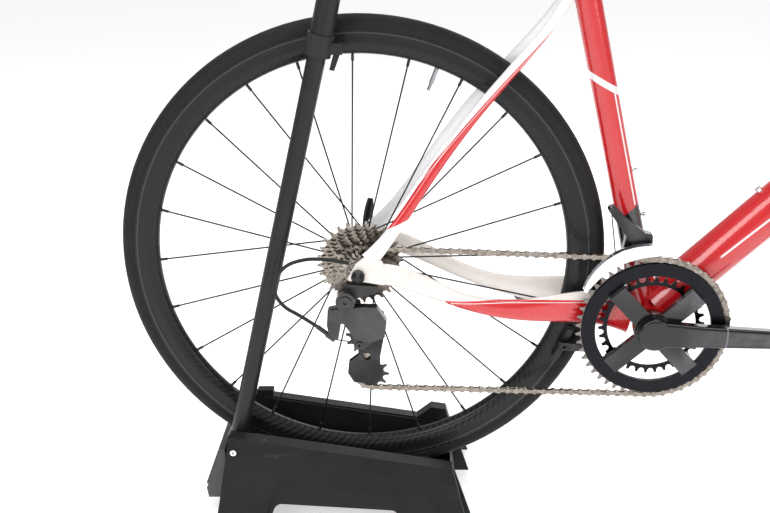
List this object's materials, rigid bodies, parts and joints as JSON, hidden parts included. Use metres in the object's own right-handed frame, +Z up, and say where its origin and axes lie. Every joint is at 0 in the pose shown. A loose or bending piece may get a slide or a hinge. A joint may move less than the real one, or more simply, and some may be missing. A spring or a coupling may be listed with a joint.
{
  "type": "road bicycle on a display stand",
  "caption": "Road bicycle with drop bars and rim brakes, its rear wheel held in a moulded trough stand with a leaning telescopic mast.",
  "frame": {"origin": "on the floor, midway between the two axles, in the middle plane", "axes": "+X forward, +Y to the bicycle's left, +Z up"},
  "size_m": [1.6615, 0.4618, 1.0135],
  "materials": {
    "black_alloy": "black anodised, satin",
    "black_composite": "gloss black composite",
    "carbon_rim": "satin carbon weave",
    "crank_black": "black gloss anodised",
    "frame_paint": "gloss red and white lacquer over carbon composite",
    "grey_alloy": "grey anodised",
    "mast_paint": "satin black powder coat",
    "rubber_black": "soft black rubber",
    "saddle_skin": "black synthetic leather",
    "silver_alloy": "silver satin",
    "spoke_black": "black steel wire",
    "stand_plastic": "grained black moulding",
    "stay_paint": "gloss white lacquer",
    "steel": "bright hardened steel, lightly soiled",
    "step_plastic": "ribbed dark grey moulding",
    "tape_black": "black cushioned tape",
    "tyre_rubber": "smooth road rubber"
  },
  "bodies": {
    "root": {"chain": "steel", "chain_stays": "stay_paint", "derailleur_hanger": "black_alloy", "frame_and_mast_bolts": "silver_alloy", "frame_bearings": "black_alloy", "front_derailleur_arm": "black_alloy", "front_derailleur_cage": "silver_alloy", "main_frame": "frame_paint", "rear_axle": "black_alloy", "rear_derailleur_body": "black_alloy", "rear_derailleur_cage": "grey_alloy", "saddle_cover": "saddle_skin", "saddle_rails": "silver_alloy", "saddle_shell": "black_composite", "seat_clamp": "black_alloy", "seat_stays": "stay_paint", "seatpost": "black_composite", "shift_housing": "rubber_black", "stand_far_side": "stand_plastic", "stand_feet": "rubber_black", "stand_near_side": "stand_plastic", "stand_rear_step": "step_plastic", "stand_trough": "stand_plastic"},
    "rear_wheel": {"rear_tyre": "tyre_rubber", "rear_rim": "carbon_rim", "rear_spokes": "spoke_black", "rear_hub": "black_alloy", "rear_valve": "silver_alloy"},
    "cassette": {"cassette_sprockets": "steel", "freehub_and_lockring": "steel"},
    "crankset": {"right_crank_and_axle": "crank_black", "outer_chainring": "crank_black", "inner_chainring": "black_alloy", "chainring_bolts": "steel", "left_crank": "crank_black"},
    "guide_pulley": {"guide_pulley": "black_composite"},
    "tension_pulley": {"tension_pulley": "black_composite"},
    "fork": {"fork": "frame_paint", "stem": "black_alloy", "handlebar": "black_alloy", "bar_tape": "tape_black", "lever_hoods": "rubber_black", "front_axle": "black_alloy"},
    "front_wheel": {"front_tyre": "tyre_rubber", "front_rim": "carbon_rim", "front_spokes": "spoke_black", "front_hub": "black_alloy"},
    "left_brake_lever": {"left_brake_lever": "black_alloy"},
    "right_brake_lever": {"right_brake_lever": "black_alloy"},
    "front_left_brake_arm": {"front_brake_left_arm": "black_alloy"},
    "front_right_brake_arm": {"front_brake_right_arm": "black_alloy"},
    "rear_left_brake_arm": {"rear_brake_left_arm": "black_alloy"},
    "rear_right_brake_arm": {"rear_brake_right_arm": "black_alloy"},
    "rear_quick_release": {"rear_quick_release_lever": "black_alloy"},
    "front_quick_release": {"front_quick_release_lever": "black_alloy"},
    "mast_lower": {"mast_lower_tube": "mast_paint"},
    "mast_upper": {"mast_upper_tube": "mast_paint", "mast_collar": "mast_paint", "saddle_cradle_sleeve": "rubber_black"},
    "mast_clamp": {"mast_clamp_lever": "rubber_black"}
  },
  "joints": [
    {"name": "rear_wheel_spin", "type": "hinge", "parent": "root", "child": "rear_wheel", "pos_m": [-0.49587, 0, 0.385], "axis": [0, 1, 0], "continuous": true},
    {"name": "crank_spin", "type": "hinge", "parent": "root", "child": "crankset", "pos_m": [-0.09791, 0, 0.29485], "axis": [0, 1, 0], "continuous": true, "deforming": ["chain"]},
    {"name": "cassette_spin", "type": "hinge", "parent": "root", "child": "cassette", "pos_m": [-0.49587, 0, 0.385], "axis": [0, 1, 0], "continuous": true},
    {"name": "guide_pulley_spin", "type": "hinge", "parent": "root", "child": "guide_pulley", "pos_m": [-0.49299, 0, 0.28323], "axis": [0, 1, 0], "continuous": true},
    {"name": "tension_pulley_spin", "type": "hinge", "parent": "root", "child": "tension_pulley", "pos_m": [-0.4851, 0, 0.22778], "axis": [0, 1, 0], "continuous": true},
    {"name": "steering", "type": "hinge", "parent": "root", "child": "fork", "pos_m": [0.31556, 0, 0.84973], "axis": [-0.2509, 0, 0.968], "range_deg": [-45, 45]},
    {"name": "front_wheel_spin", "type": "hinge", "parent": "fork", "child": "front_wheel", "pos_m": [0.49587, 0, 0.335], "axis": [0, 1, 0], "continuous": true},
    {"name": "left_lever_pull", "type": "hinge", "parent": "fork", "child": "left_brake_lever", "pos_m": [0.57151, 0.211, 0.91461], "axis": [0, 1, 0], "range_deg": [0, 16], "stiffness_Nm_per_rad": 3, "springref_deg": -5.73},
    {"name": "right_lever_pull", "type": "hinge", "parent": "fork", "child": "right_brake_lever", "pos_m": [0.57151, -0.211, 0.91461], "axis": [0, 1, 0], "range_deg": [0, 16], "stiffness_Nm_per_rad": 3, "springref_deg": -5.73},
    {"name": "front_left_arm_swing", "type": "hinge", "parent": "fork", "child": "front_left_brake_arm", "pos_m": [0.41201, 0.01, 0.70082], "axis": [0.968, 0, 0.2509], "range_deg": [-1.1, 0]},
    {"name": "front_right_arm_swing", "type": "hinge", "parent": "fork", "child": "front_right_brake_arm", "pos_m": [0.41201, -0.01, 0.70082], "axis": [0.968, 0, 0.2509], "range_deg": [0, 1.1]},
    {"name": "rear_left_arm_swing", "type": "hinge", "parent": "root", "child": "rear_left_brake_arm", "pos_m": [-0.17982, 0.028, 0.25893], "axis": [0.0504, 0, 0.9987], "range_deg": [0, 1.7]},
    {"name": "rear_right_arm_swing", "type": "hinge", "parent": "root", "child": "rear_right_brake_arm", "pos_m": [-0.17982, -0.028, 0.25893], "axis": [0.0504, 0, 0.9987], "range_deg": [-1.7, 0]},
    {"name": "rear_quick_release_turn", "type": "hinge", "parent": "root", "child": "rear_quick_release", "pos_m": [-0.49587, 0.0876, 0.385], "axis": [-0.9877, 0, 0.1565], "range_deg": [0, 150]},
    {"name": "front_quick_release_turn", "type": "hinge", "parent": "fork", "child": "front_quick_release", "pos_m": [0.49587, 0.0726, 0.335], "axis": [-0.8736, 0, -0.4866], "range_deg": [0, 150]},
    {"name": "mast_fold", "type": "hinge", "parent": "root", "child": "mast_lower", "pos_m": [-0.6814, -0.04, 0.12101], "axis": [0, 1, 0], "range_deg": [-95, 0]},
    {"name": "mast_slide", "type": "slide", "parent": "mast_lower", "child": "mast_upper", "axis": [0.2468, 0, 0.9691], "range_m": [-0.15, 0]},
    {"name": "mast_clamp_turn", "type": "hinge", "parent": "mast_upper", "child": "mast_clamp", "pos_m": [-0.51427, -0.04, 0.68212], "axis": [0, 1, 0], "range_deg": [-110, 0]}
  ],
  "couplings": [
    {"joint": "cassette_spin", "follows": "crank_spin", "ratio": 3.3333},
    {"joint": "guide_pulley_spin", "follows": "crank_spin", "ratio": -4.5455},
    {"joint": "tension_pulley_spin", "follows": "crank_spin", "ratio": 4.5455},
    {"joint": "rear_left_arm_swing", "follows": "right_lever_pull", "ratio": 0.106},
    {"joint": "rear_right_arm_swing", "follows": "right_lever_pull", "ratio": -0.106},
    {"joint": "front_left_arm_swing", "follows": "left_lever_pull", "ratio": -0.068},
    {"joint": "front_right_arm_swing", "follows": "left_lever_pull", "ratio": 0.068}
  ]
}
